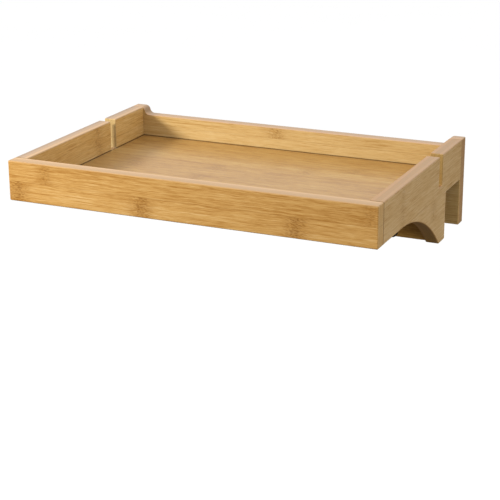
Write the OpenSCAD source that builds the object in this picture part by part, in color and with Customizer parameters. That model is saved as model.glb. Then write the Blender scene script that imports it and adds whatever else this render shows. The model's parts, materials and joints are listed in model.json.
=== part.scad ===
// Clip-on bedside tray shelf.
// A bamboo tray whose back edge carries a channel that drops over a bed rail or
// headboard. Two hand screws push swivel pads against the rail and draw it
// onto the back board.
//
// Origin: middle of the channel's ceiling, where the rail's top edge seats.
// +X runs along the rail to the right, +Y points to the back board, +Z is up.

/* [Tray] */
// Overall width, across both side boards
shelf_w = 360; // [300:5:480]
// Overall depth, from the front board's face to the back board's outer face
shelf_d = 250; // [220:5:320]
// Thickness of the upright boards
board_t = 13; // [12:0.5:16]
// Depth of the tray, from the walls' top edge down to the floor
tray_depth = 30; // [20:1:45]
// Thickness of the tray floor
floor_t = 5; // [4:0.5:8]
// Thickness of the rabbeted tongue round the floor's edge
tongue_t = 2.5; // [2:0.1:3]
// How far the tongue reaches into its groove
tongue_reach = 4; // [2:0.5:5]
// Height of the floor's underside above the walls' bottom edge
wall_lip = 3; // [1:0.5:5]
// Width of the open-topped slot in each side board
slot_w = 10; // [6:0.5:16]

/* [Back edge] */
// How far the back board's top edge dips below the side boards
rim_dip = 8; // [4:0.5:10]
// Width of the flat top of each ear at the ends of the back board
ear_w = 10; // [6:0.5:20]
// Length of the curve from each ear down to the dipped edge
ear_run = 10; // [9:0.5:20]

/* [Clamp channel] */
// Clear width between the clamp board and the back board
channel_w = 46; // [44:1:60]
// Height of the legs below the channel's ceiling
leg_h = 46; // [42:1:60]
// Thickness of the board that forms the channel's ceiling
ceiling_t = 5; // [4:0.5:8]
// Length of the flat under each leg
leg_foot = 17.5; // [16.5:0.5:24]
// Run of the curve from the wall's bottom edge to the leg's flat
leg_sweep = 113.5; // [70:0.5:125]

/* [Clamp screws] */
// Distance of each screw's axis from the nearer side face
screw_inset = 42; // [36:1:90]
// Distance of the screw axes below the channel's ceiling
screw_drop = 20; // [19:1:23]
// Rail gap between the pads and the back board, as drawn
rail_gap = 30; // [20:1:33]
// Diameter of the threaded rods
rod_d = 8; // [7:0.5:8]
// Free length of rod between the insert's flange and the lock collar
screw_reach = 16; // [8:1:30]
// Thread the rod runs into the knob
rod_in_knob = 11; // [7:0.5:13]

/* [Swivel pad] */
// Diameter of the white pad
pad_d = 31; // [24:0.5:34]
// Thickness of the white pad
pad_t = 3; // [2.5:0.1:4]
// Radius round the pad's front edge
pad_round = 1.2; // [0.5:0.1:1.8]
// Diameter of the dark backing disc
backing_d = 32; // [25:0.5:35]
// Thickness of the dark backing disc
backing_t = 1.2; // [0.8:0.1:2]
// Outer diameter of the ferrule that turns on the rod's end
ferrule_d = 11; // [10.5:0.5:12]
// How deep the ferrule's mouth lies in the clamp board's hole
ferrule_sink = 1.2; // [0.5:0.1:1.4]
// How far each pad can draw back from where it is drawn
pad_retreat = 2.5; // [1:0.1:2.7]
// Diameter of the stud that rivets the ferrule to the pad
stud_d = 6; // [4:0.5:7]

/* [Threaded insert] */
// Diameter of the insert's flange
flange_d = 22; // [20:0.5:26]
// Thickness of the insert's flange
flange_t = 1.5; // [1.2:0.1:2]
// Diameter of the insert's barrel
barrel_d = 10; // [9.5:0.25:11]
// Length of the insert's barrel in the board
barrel_len = 8.5; // [6:0.25:9]
// Length of the prongs that bite into the board
prong_len = 6; // [4:0.5:7.5]

/* [Star knob] */
// Diameter over the knob's lobes
knob_d = 32; // [28:1:36]
// Number of lobes
knob_lobes = 7; // [5:1:8]
// Radius of each lobe's tip
lobe_r = 4.2; // [3.6:0.1:4.6]
// Depth of the finger hollows between the lobes
hollow_depth = 3.1; // [2:0.1:4]
// Thickness of the lobed head
knob_t = 11; // [10:0.5:16]
// Diameter of the hub under the head
hub_d = 17; // [16:0.5:20]
// Length of the hub under the head
hub_len = 6; // [4:0.5:10]
// Size of the hexagonal lock collar across its flats
collar_af = 13; // [12:0.5:14]
// Length of the hexagonal lock collar
collar_len = 9; // [6:0.5:12]

/* [Dowels] */
// Diameter of the dowels
dowel_d = 6; // [5:0.5:7]
// Length of the dowels
dowel_len = 26; // [20:1:30]
// How far each dowel enters the board whose face it meets
dowel_bite = 8.5; // [6:0.5:10]
// Chamfer round the ends of the dowels
dowel_chamfer = 0.8; // [0.4:0.1:1.5]

/* [Hidden] */

$fn = 64;
LEFT = -1;
RIGHT = 1;

// Clearances
fit_gap = 0.05;     // radial, for shafts, dowels, barrels and prongs
thrust_gap = 0.1;   // end play of the rod's head in the ferrule
shadow_gap = 0.3;   // between the floor's top edge and the walls
groove_play = 0.1;  // above the tongue in its groove
groove_end = 0.5;   // beyond the tongue's end in its groove
hole_play = 1;      // round the ferrule in the clamp board's hole
hole_end = 0.3;     // behind the ferrule's mouth when its pad is drawn back
glue_gap = 0.75;    // beyond each end of a dowel
cut = 1;            // how far a cut runs past the face it opens

// Stations along Y
back_in = channel_w / 2;
back_out = back_in + board_t;
leg_back = -channel_w / 2;
leg_front = leg_back - board_t;
front_out = back_out - shelf_d;
front_in = front_out + board_t;
sweep_end = leg_back - leg_foot;
sweep_start = sweep_end - leg_sweep;

// Stations along Z
floor_bottom = ceiling_t;
floor_top = floor_bottom + floor_t;
wall_top = floor_top + tray_depth;
wall_bottom = floor_bottom - wall_lip;
leg_bottom = -leg_h;
rim_top = wall_top - rim_dip;

// Stations along X
side_out = shelf_w / 2;
side_in = side_out - board_t;
side_mid = side_out - board_t / 2;
screw_x = side_out - screw_inset;

// The leg's curve is one arc that leaves the wall's bottom edge at a tangent
sweep_rise = wall_bottom - leg_bottom;
sweep_r = (leg_sweep * leg_sweep + sweep_rise * sweep_rise) / (2 * sweep_rise);

// The ear's curve is two equal arcs that meet half way
ear_r = (ear_run * ear_run + rim_dip * rim_dip) / (4 * rim_dip);
ear_turn = asin(ear_run / 2 / ear_r);
ear_steps = 6;

// Stations of the screw along its own axis, which is +Y
pad_face = back_in - rail_gap;
pad_back = pad_face - pad_t;
ferrule_top = pad_back - backing_t;
ferrule_mouth = leg_back - ferrule_sink;
ferrule_web = 2;
ferrule_floor = ferrule_top - ferrule_web;
stud_end = pad_back + pad_t / 2;
head_len = 2.2;
head_step = 0.5;
neck_len = 2;
neck_step = 1.4;
rod_tip = ferrule_floor - thrust_gap;
neck_front = rod_tip - head_len;
shank_end = neck_front - neck_len;
head_r = rod_d / 2 - head_step;
neck_r = rod_d / 2 - neck_step;
flange_face = leg_front - flange_t;
barrel_end = leg_front + barrel_len;
collar_near = flange_face - screw_reach;
collar_far = collar_near - collar_len;
hub_far = collar_far - hub_len;
knob_far = hub_far - knob_t;
rod_far = collar_far - rod_in_knob;

// The clamp board's hole: tight round the barrel, wide round the ferrule
ferrule_hole_d = ferrule_d + 2 * hole_play;
ferrule_hole_floor = ferrule_mouth - pad_retreat - hole_end;

// Prongs of the insert, four round the barrel
prong_count = 4;
prong_w = 3;
prong_t = 1.2;
prong_inset = 1.6;
prong_r = flange_d / 2 - prong_inset;

// Knob outline: lobes on a ring, a round body, and a hollow between lobes
lobe_ring = knob_d / 2 - lobe_r;
hollow_root = knob_d / 2 - hollow_depth;
hollow_r = 4.4;
body_swell = 0.9;
body_r = hollow_root + body_swell;
knob_edge = 3;
knob_back_edge = 1.5;
cap_rise = 1;

// Slope of the cone at each end of the lock collar
collar_cone = 30;

// Dowel places: the least wood above the floor, below the rim and at a leg's ends
floor_margin = 1;
rim_margin = 5;
leg_margin = 5;
wall_dowels_z = [
    floor_top + floor_margin + dowel_d / 2,
    wall_top - rim_margin - dowel_d / 2
];
leg_dowels_z = [
    -leg_margin - dowel_d / 2,
    leg_bottom + leg_margin + dowel_d / 2
];
leg_mid = (leg_back + leg_front) / 2;
dowel_tail = dowel_len - dowel_bite;

bamboo = [0.84, 0.66, 0.38];
bamboo_side = [0.78, 0.61, 0.38];
bamboo_floor = [0.75, 0.60, 0.38];
bamboo_pale = [0.93, 0.85, 0.68];
beech = [0.88, 0.76, 0.55];
zinc = [0.75, 0.79, 0.80];
steel = [0.50, 0.48, 0.44];
black = [0.05, 0.05, 0.06];
white = [0.93, 0.91, 0.92];
dark = [0.16, 0.15, 0.15];

// ---------------------------------------------------------------- helpers

// Box between two corners
module block(low, high) {
    translate(low) cube(high - low);
}

// Rectangle between two corners
module sheet(low, high) {
    translate(low) square(high - low);
}

// Outline drawn as Y and Z, made into a board from x0 to x1
module board_along_x(x0, x1) {
    translate([x0, 0, 0]) rotate([90, 0, 90]) linear_extrude(x1 - x0) children();
}

// Outline drawn as X and Z, made into a board from y0 to y1
module board_along_y(y0, y1) {
    translate([0, y1, 0]) rotate([90, 0, 0]) linear_extrude(y1 - y0) children();
}

// Round bar along +Z between two stations
module bar(d, from, to) {
    translate([0, 0, from]) cylinder(d = d, h = to - from);
}

// Round bar along +Z with chamfered ends
module chamfered_bar(d, from, to, chamfer) {
    bar(d, from + chamfer, to - chamfer);
    translate([0, 0, from]) cylinder(d1 = d - 2 * chamfer, d2 = d, h = chamfer);
    translate([0, 0, to - chamfer]) cylinder(d1 = d, d2 = d - 2 * chamfer, h = chamfer);
}

// Puts a piece drawn along +Z onto a screw axis, with +Z turned to +Y
module on_screw(side) {
    translate([side * screw_x, 0, -screw_drop]) rotate([-90, 0, 0]) children();
}

// Puts children at both screws
module on_both_screws() {
    for (side = [LEFT, RIGHT]) on_screw(side) children();
}

// Dowels along Y that cross the joint face at y: bite lies on the far side of
// it, in the board met face on, and tail runs back into the side board's end
module dowels_y(y, dir, d, bite, tail, chamfer) {
    for (side = [LEFT, RIGHT], z = wall_dowels_z)
        translate([side * side_mid, y, z]) rotate([dir * 90, 0, 0])
            chamfered_bar(d, -bite, tail, chamfer);
}

// Dowels along X that tie the clamp board's ends to the side boards
module dowels_x(d, bite, tail, chamfer) {
    for (side = [LEFT, RIGHT], z = leg_dowels_z)
        translate([side * side_in, leg_mid, z]) rotate([0, -side * 90, 0])
            chamfered_bar(d, -bite, tail, chamfer);
}

// Sockets lie where the dowels lie, with a radial fit, glue room at the ends
// and the drill's cone in place of the chamfer
module front_sockets() {
    dowels_y(front_in, -1, dowel_d + 2 * fit_gap, dowel_bite + glue_gap,
             dowel_tail + glue_gap, glue_gap);
}

module back_sockets() {
    dowels_y(back_in, 1, dowel_d + 2 * fit_gap, dowel_bite + glue_gap,
             dowel_tail + glue_gap, glue_gap);
}

module clamp_sockets() {
    dowels_x(dowel_d + 2 * fit_gap, dowel_bite + glue_gap,
             dowel_tail + glue_gap, glue_gap);
}

// Groove for the floor's tongue, round all four walls
module floor_groove() {
    reach = tongue_reach + groove_end;
    block([-side_in - reach, front_in - reach, floor_bottom],
          [side_in + reach, back_in + reach, floor_bottom + tongue_t + groove_play]);
}

// ------------------------------------------------------------------ boards

// Outline of a side board in Y and Z: wall, slot, swept leg and rail notch
module side_outline() {
    difference() {
        sheet([front_in, leg_bottom], [back_in, wall_top]);
        sheet([front_in - cut, leg_bottom - cut], [sweep_start, wall_bottom]);
        translate([sweep_start, wall_bottom - sweep_r]) circle(r = sweep_r, $fn = 360);
        sheet([leg_back, leg_bottom - cut], [back_in + cut, 0]);
        sheet([leg_front - slot_w, floor_top], [leg_front, wall_top + cut]);
    }
}

module side_panel(side) {
    color(bamboo_side) difference() {
        board_along_x(min(side * side_in, side * side_out),
                      max(side * side_in, side * side_out)) side_outline();
        floor_groove();
        front_sockets();
        back_sockets();
        clamp_sockets();
    }
}

module front_panel() {
    color(bamboo) difference() {
        block([-side_out, front_out, wall_bottom], [side_out, front_in, wall_top]);
        floor_groove();
        front_sockets();
    }
}

// Points of the right ear's curve, from the ear's flat down to the dip
function ear_curve() = concat(
    [for (i = [0 : ear_steps]) let (a = ear_turn * i / ear_steps)
        [side_out - ear_w - ear_r * sin(a), wall_top - ear_r * (1 - cos(a))]],
    [for (i = [ear_steps - 1 : -1 : 0]) let (a = ear_turn * i / ear_steps)
        [side_out - ear_w - ear_run + ear_r * sin(a), rim_top + ear_r * (1 - cos(a))]]
);

// Mirrors a list of points about X = 0, in reverse order
function mirrored(points) =
    [for (i = [len(points) - 1 : -1 : 0]) [-points[i][0], points[i][1]]];

// The back board: full height, with an ear at each end of its dipped top edge
module back_panel() {
    right_half = concat([[side_out, leg_bottom], [side_out, wall_top]], ear_curve());
    color(bamboo) difference() {
        board_along_y(back_in, back_out)
            polygon(concat(right_half, mirrored(right_half)));
        floor_groove();
        back_sockets();
    }
}

// The floor: its top fills the tray, and a thinner tongue enters the grooves
module tray_floor() {
    color(bamboo_floor) union() {
        block([-side_in - tongue_reach, front_in - tongue_reach, floor_bottom],
              [side_in + tongue_reach, back_in + tongue_reach, floor_bottom + tongue_t]);
        block([-side_in + shadow_gap, front_in + shadow_gap, floor_bottom],
              [side_in - shadow_gap, back_in - shadow_gap, floor_top]);
    }
}

// Board between the clamp board and the back board, under the floor
module channel_ceiling() {
    color(bamboo_pale) block([-side_in, leg_back, 0], [side_in, back_in, ceiling_t]);
}

// Four prongs round the insert's barrel, grown by the fit when they are cut out
module prongs(grow) {
    for (i = [0 : prong_count - 1]) rotate(45 + i * 360 / prong_count)
        block([prong_r - prong_t / 2 - grow, -prong_w / 2 - grow, leg_front],
              [prong_r + prong_t / 2 + grow, prong_w / 2 + grow,
               leg_front + prong_len + grow]);
}

// The front jaw of the channel, which carries both inserts
module clamp_board() {
    color(bamboo_pale) difference() {
        block([-side_in, leg_front, leg_bottom], [side_in, leg_back, ceiling_t]);
        on_both_screws() {
            bar(barrel_d + 2 * fit_gap, leg_front - cut, leg_back + cut);
            bar(ferrule_hole_d, ferrule_hole_floor, leg_back + cut);
            prongs(fit_gap);
        }
        clamp_sockets();
    }
}

// ------------------------------------------------------------------ dowels

module front_dowels() {
    color(beech) dowels_y(front_in, -1, dowel_d, dowel_bite, dowel_tail, dowel_chamfer);
}

module back_dowels() {
    color(beech) dowels_y(back_in, 1, dowel_d, dowel_bite, dowel_tail, dowel_chamfer);
}

module clamp_board_dowels() {
    color(beech) dowels_x(dowel_d, dowel_bite, dowel_tail, dowel_chamfer);
}

// ------------------------------------------------------------ clamp screws

// Pronged insert, hammered into the clamp board from the front
module insert_nut(side) {
    notch_r = prong_r + prong_t / 2;
    color(zinc) on_screw(side) union() {
        difference() {
            union() {
                bar(flange_d, flange_face, leg_front);
                bar(barrel_d, leg_front, barrel_end);
            }
            bar(rod_d + 2 * fit_gap, flange_face - cut, barrel_end + cut);
            for (i = [0 : prong_count - 1]) rotate(45 + i * 360 / prong_count)
                block([notch_r, -prong_w / 2, flange_face - cut],
                      [flange_d, prong_w / 2, leg_front + cut]);
        }
        prongs(0);
    }
}

// Rod with a necked, headed end that turns inside the ferrule
module threaded_rod(side) {
    color(steel) on_screw(side) union() {
        bar(rod_d, rod_far, shank_end);
        bar(2 * neck_r, shank_end, neck_front);
        bar(2 * head_r, neck_front, rod_tip);
    }
}

// Half section of the ferrule, with its lip closed into the rod's neck
module ferrule_section() {
    outer = ferrule_d / 2;
    lip_r = neck_r + thrust_gap;
    difference() {
        union() {
            sheet([0, ferrule_mouth], [outer, ferrule_top]);
            sheet([0, ferrule_top], [stud_d / 2, stud_end]);
        }
        sheet([-cut, ferrule_mouth - cut], [rod_d / 2 + fit_gap, shank_end + thrust_gap]);
        sheet([-cut, shank_end], [lip_r, neck_front]);
        sheet([-cut, neck_front - thrust_gap], [head_r + fit_gap, ferrule_floor]);
    }
}

module pad_ferrule(side) {
    color(steel) on_screw(side) rotate_extrude() ferrule_section();
}

module pad_backing(side) {
    color(dark) on_screw(side) difference() {
        bar(backing_d, ferrule_top, pad_back);
        bar(stud_d, ferrule_top - cut, pad_back + cut);
    }
}

// Half section of the pad, with a rounded front edge
module pad_section() {
    difference() {
        sheet([0, pad_back], [pad_d / 2, pad_face]);
        translate([pad_d / 2 - pad_round, pad_face - pad_round]) difference() {
            square(pad_round + cut);
            circle(r = pad_round);
        }
        sheet([-cut, pad_back - cut], [stud_d / 2, stud_end]);
    }
}

module clamp_pad(side) {
    color(white) on_screw(side) rotate_extrude() pad_section();
}

// Hexagonal lock collar, its corners turned down to a cone at both ends
module lock_collar(side) {
    over_corners = collar_af / cos(30);
    cone = (over_corners - collar_af) / 2 * tan(collar_cone);
    color(zinc) on_screw(side) difference() {
        intersection() {
            translate([0, 0, collar_far])
                cylinder(d = over_corners, h = collar_len, $fn = 6);
            rotate_extrude() polygon([
                [0, collar_far], [collar_af / 2, collar_far],
                [over_corners / 2, collar_far + cone],
                [over_corners / 2, collar_near - cone],
                [collar_af / 2, collar_near], [0, collar_near]
            ]);
        }
        bar(rod_d + 2 * fit_gap, collar_far - cut, collar_near + cut);
    }
}

// Outline of the lobed head
module star_outline() {
    pitch = 360 / knob_lobes;
    difference() {
        union() {
            circle(r = body_r);
            for (i = [0 : knob_lobes - 1]) rotate(i * pitch)
                translate([lobe_ring, 0]) circle(r = lobe_r);
        }
        for (i = [0 : knob_lobes - 1]) rotate((i + 0.5) * pitch)
            translate([hollow_root + hollow_r, 0]) circle(r = hollow_r);
    }
}

// Half section that the lobed head is turned to: domed cap, rounded edges
module head_section() {
    r = knob_d / 2;
    cap_r = (r * r + cap_rise * cap_rise) / (2 * cap_rise);
    difference() {
        sheet([0, knob_far], [r, hub_far]);
        translate([0, knob_far + cap_r]) difference() {
            sheet([-cut, -cap_r - cut], [r + cut, 0]);
            circle(r = cap_r, $fn = 360);
        }
        translate([r - knob_edge, knob_far + cap_rise + knob_edge]) difference() {
            sheet([0, -knob_edge - cap_rise - cut], [knob_edge + cut, 0]);
            circle(r = knob_edge);
        }
        translate([r - knob_back_edge, hub_far - knob_back_edge]) difference() {
            square(knob_back_edge + cut);
            circle(r = knob_back_edge);
        }
    }
}

// Lobed hand knob, moulded on a hub and bored for the rod
module star_knob(side) {
    color(black) on_screw(side) difference() {
        union() {
            intersection() {
                translate([0, 0, knob_far]) linear_extrude(knob_t) star_outline();
                rotate_extrude() head_section();
            }
            bar(hub_d, hub_far, collar_far);
        }
        bar(rod_d + 2 * fit_gap, rod_far - thrust_gap, collar_far + cut);
    }
}

// ------------------------------------------------------------------- nodes

front_panel();
side_panel(LEFT);  // left_side_panel
side_panel(RIGHT);  // right_side_panel
back_panel();
tray_floor();
channel_ceiling();
clamp_board();
front_dowels();
back_dowels();
clamp_board_dowels();
insert_nut(LEFT);  // left_insert_nut
threaded_rod(LEFT);  // left_threaded_rod
star_knob(LEFT);  // left_star_knob
lock_collar(LEFT);  // left_lock_collar
pad_ferrule(LEFT);  // left_pad_ferrule
pad_backing(LEFT);  // left_pad_backing
clamp_pad(LEFT);  // left_clamp_pad
insert_nut(RIGHT);  // right_insert_nut
threaded_rod(RIGHT);  // right_threaded_rod
star_knob(RIGHT);  // right_star_knob
lock_collar(RIGHT);  // right_lock_collar
pad_ferrule(RIGHT);  // right_pad_ferrule
pad_backing(RIGHT);  // right_pad_backing
clamp_pad(RIGHT);  // right_clamp_pad
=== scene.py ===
"""Finishes, hardware detail, stage and camera for a clip-on bedside tray shelf.

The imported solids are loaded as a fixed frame. The boards, inserts and collars
keep their solids and get eased edges and finishes. Rods, knobs, ferrules, discs
and pads are shown by detailed pieces turned about the same screw axes.
Lengths are in metres in the frame's own axes: +X right, +Y to the back, +Z up.
"""

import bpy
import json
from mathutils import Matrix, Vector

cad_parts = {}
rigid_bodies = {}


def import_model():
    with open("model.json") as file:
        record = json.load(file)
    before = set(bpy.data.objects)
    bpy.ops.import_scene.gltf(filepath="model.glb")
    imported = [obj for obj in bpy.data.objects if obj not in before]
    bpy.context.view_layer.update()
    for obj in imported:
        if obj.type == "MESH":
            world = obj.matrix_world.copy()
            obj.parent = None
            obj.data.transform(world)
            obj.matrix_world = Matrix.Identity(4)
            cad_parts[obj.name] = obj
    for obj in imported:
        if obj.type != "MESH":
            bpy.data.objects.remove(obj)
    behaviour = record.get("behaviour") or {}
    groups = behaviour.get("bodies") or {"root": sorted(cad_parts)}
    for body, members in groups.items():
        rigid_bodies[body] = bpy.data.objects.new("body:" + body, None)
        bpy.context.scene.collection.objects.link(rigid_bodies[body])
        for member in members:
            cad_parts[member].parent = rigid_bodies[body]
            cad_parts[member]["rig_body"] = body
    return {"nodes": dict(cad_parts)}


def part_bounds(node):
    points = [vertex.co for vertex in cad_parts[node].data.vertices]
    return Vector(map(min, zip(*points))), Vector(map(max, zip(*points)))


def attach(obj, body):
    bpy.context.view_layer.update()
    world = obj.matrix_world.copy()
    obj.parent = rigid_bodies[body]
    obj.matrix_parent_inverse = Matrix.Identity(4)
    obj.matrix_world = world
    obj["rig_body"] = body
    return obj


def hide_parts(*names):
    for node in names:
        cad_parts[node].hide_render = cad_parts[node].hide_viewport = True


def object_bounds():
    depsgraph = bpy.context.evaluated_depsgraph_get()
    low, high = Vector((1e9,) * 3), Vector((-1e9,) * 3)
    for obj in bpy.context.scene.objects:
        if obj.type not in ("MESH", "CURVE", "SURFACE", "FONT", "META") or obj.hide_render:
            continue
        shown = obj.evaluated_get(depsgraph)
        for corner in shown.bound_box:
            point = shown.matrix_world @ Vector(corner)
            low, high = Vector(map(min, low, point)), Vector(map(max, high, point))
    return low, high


bl_info = {
    "name": "Clip-on bedside shelf",
    "version": (1, 0, 0),
    "blender": (4, 5, 0),
    "location": "3D View > Sidebar > Shelf",
    "description": "Bamboo tray shelf with a rail channel and two hand screws",
    "category": "Object",
}

import json
import math

import bmesh
import bpy
from bpy.props import FloatProperty, FloatVectorProperty, IntProperty, PointerProperty
from mathutils import Matrix, Vector

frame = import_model()
packed_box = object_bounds()

MM = 0.001
SIDES = ("left", "right")
AXES = "XYZ"
SENSOR_WIDTH = 36.0  # in mm, as the lens is
FLOOR_RADIUS = 40.0


def tint(red, green, blue):
    """Linear colour of a display colour given as 0 to 255."""
    def linear(value):
        value /= 255
        return value / 12.92 if value <= 0.04045 else ((value + 0.055) / 1.055) ** 2.4
    return (linear(red), linear(green), linear(blue))


def opaque(colour):
    """The colour with full opacity, as node sockets take it."""
    return (*colour[:3], 1.0)


def box_mm(node):
    """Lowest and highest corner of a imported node, in mm."""
    return [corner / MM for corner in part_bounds(node)]


# ------------------------------------------------------------------ settings


def colour_setting(name, description, default):
    return FloatVectorProperty(
        name=name, description=description, default=default,
        subtype="COLOR", size=3, min=0.0, max=1.0,
    )


def length_setting(name, description, default, low=0.0, high=1.0):
    return FloatProperty(
        name=name, description=description, default=default,
        min=low, max=high, unit="LENGTH", subtype="DISTANCE", precision=5,
    )


def share_setting(name, description, default):
    return FloatProperty(
        name=name, description=description, default=default,
        min=0.05, max=1.0, subtype="FACTOR",
    )


def angle_setting(name, description, degrees):
    return FloatProperty(
        name=name, description=description, default=math.radians(degrees), subtype="ANGLE",
    )


def strength_setting(name, description, default):
    return FloatProperty(
        name=name, description=description, default=default, min=0.0, max=5.0,
    )


def power_setting(name, description, watts):
    return FloatProperty(
        name=name, description=description, default=watts,
        min=0.0, max=500.0, unit="POWER",
    )


class BoardSettings(bpy.types.PropertyGroup):
    """Sizes and colours of the bamboo"""

    eased: length_setting(
        "Eased edge", "Round along the exposed edges", 1.1 * MM, 0.2 * MM, 3 * MM)
    joint_share: share_setting(
        "Joint edge", "Round at a glued joint, as a share of the eased edge", 0.3)
    strip: length_setting(
        "Strip width", "Width of the bamboo strips", 19.1 * MM, 5 * MM, 40 * MM)
    knuckle_pitch: length_setting(
        "Knuckle pitch", "Usual distance between the knuckles of a strip",
        290 * MM, 100 * MM, 500 * MM)
    face_dark: colour_setting("Dark fibre", "Darkest fibres of a face", tint(176, 122, 52))
    face_mid: colour_setting("Fibre", "Usual tone of a face", tint(214, 166, 94))
    face_light: colour_setting("Pale fibre", "Palest fibres of a face", tint(234, 196, 132))
    edge_tone: colour_setting("Edge", "Planed edge of a board", tint(198, 159, 119))
    edge_line: colour_setting("Glue line", "Line between two plies", tint(160, 116, 72))
    end_tone: colour_setting("End grain", "Sawn end of a board", tint(186, 150, 96))
    end_dot: colour_setting("End fibres", "Fibre ends in the end grain", tint(118, 82, 46))
    knuckle: colour_setting("Knuckle", "Marks at a knuckle", tint(140, 90, 30))
    # this colour darkens the joint lines and also paints shade into the corners between boards
    seam: colour_setting("Seam", "Dark line where two boards meet", tint(84, 56, 24))
    roughness: share_setting("Lacquer", "Roughness of the satin lacquer", 0.42)


class ScrewSettings(bpy.types.PropertyGroup):
    """Sizes and colours of the clamp screws"""

    pitch: length_setting("Thread pitch", "Advance of the thread in a turn", 1.25 * MM)
    thread_depth: length_setting("Thread depth", "Crest to root of the thread", 0.62 * MM)
    lobes: IntProperty(
        name="Lobes", description="Number of lobes on a knob", default=7, min=5, max=9)
    hollow: length_setting("Finger hollow", "Depth between two lobes", 3.1 * MM)
    zinc: colour_setting("Zinc", "Bright zinc plate", tint(206, 214, 220))
    steel: colour_setting("Steel", "Dull plated steel", tint(150, 146, 140))
    black: colour_setting("Knob", "Black moulding", tint(24, 24, 25))
    white: colour_setting("Pad", "White moulding", tint(236, 229, 228))
    dark: colour_setting("Disc", "Dark backing disc", tint(52, 48, 48))


class StageSettings(bpy.types.PropertyGroup):
    """Camera, light and floor"""

    azimuth: angle_setting("Azimuth", "Camera's turn to the right of the front", 24.48)
    elevation: angle_setting("Elevation", "Camera's height above the horizon", 18.83)
    roll: angle_setting("Roll", "Camera's turn about its own axis", -0.31)
    distance: length_setting("Distance", "Camera to the point it looks at", 1.38282, 0.2, 5.0)
    aim: FloatVectorProperty(
        name="Aim", description="Point that the camera looks at",
        default=(13.01 * MM, -102.67 * MM, -55.33 * MM), subtype="TRANSLATION", unit="LENGTH")
    lens: FloatProperty(
        name="Lens", description="Focal length in millimetres on a 36 mm sensor",
        default=104.6, min=20.0, max=200.0, unit="CAMERA")
    drop: length_setting("Floor drop", "Floor below the legs", 1.2, 0.0, 3.0)
    floor_tone: colour_setting("Floor", "Pale floor", tint(254, 254, 254))
    sky: strength_setting("Sky", "Strength of the white surround", 1.04)
    below: strength_setting("Below", "Strength of the surround below the horizon", 0.1)
    bounce: colour_setting("Bounce", "Warm light that comes back from below", tint(255, 224, 176))
    key: power_setting("Key light", "Power of the key light in watts", 17.0)
    key_size: length_setting("Key size", "Side of the square key light", 0.2, 0.01, 3.0)
    key_distance: length_setting("Key distance", "Key light to the shelf", 1.15, 0.2, 10.0)
    key_azimuth: angle_setting(
        "Key azimuth", "Key light's turn to the left of the front", 50.0)
    key_elevation: angle_setting(
        "Key elevation", "Key light's height above the horizon", 21.4)
    fill: power_setting("Fill light", "Power of the fill light in watts", 7.0)
    fill_size: length_setting("Fill size", "Side of the square fill light", 0.8, 0.01, 3.0)
    fill_distance: length_setting("Fill distance", "Fill light to the shelf", 1.5, 0.2, 10.0)
    fill_azimuth: angle_setting(
        "Fill azimuth", "Fill light's turn to the right of the front", 80.0)
    fill_elevation: angle_setting(
        "Fill elevation", "Fill light's height above the horizon", -8.0)


# ------------------------------------------------------------ node shorthand

# Sockets of a Mix node in its colour form
MIX_FACTOR, MIX_A, MIX_B, MIX_RESULT = 0, 6, 7, 2


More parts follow.
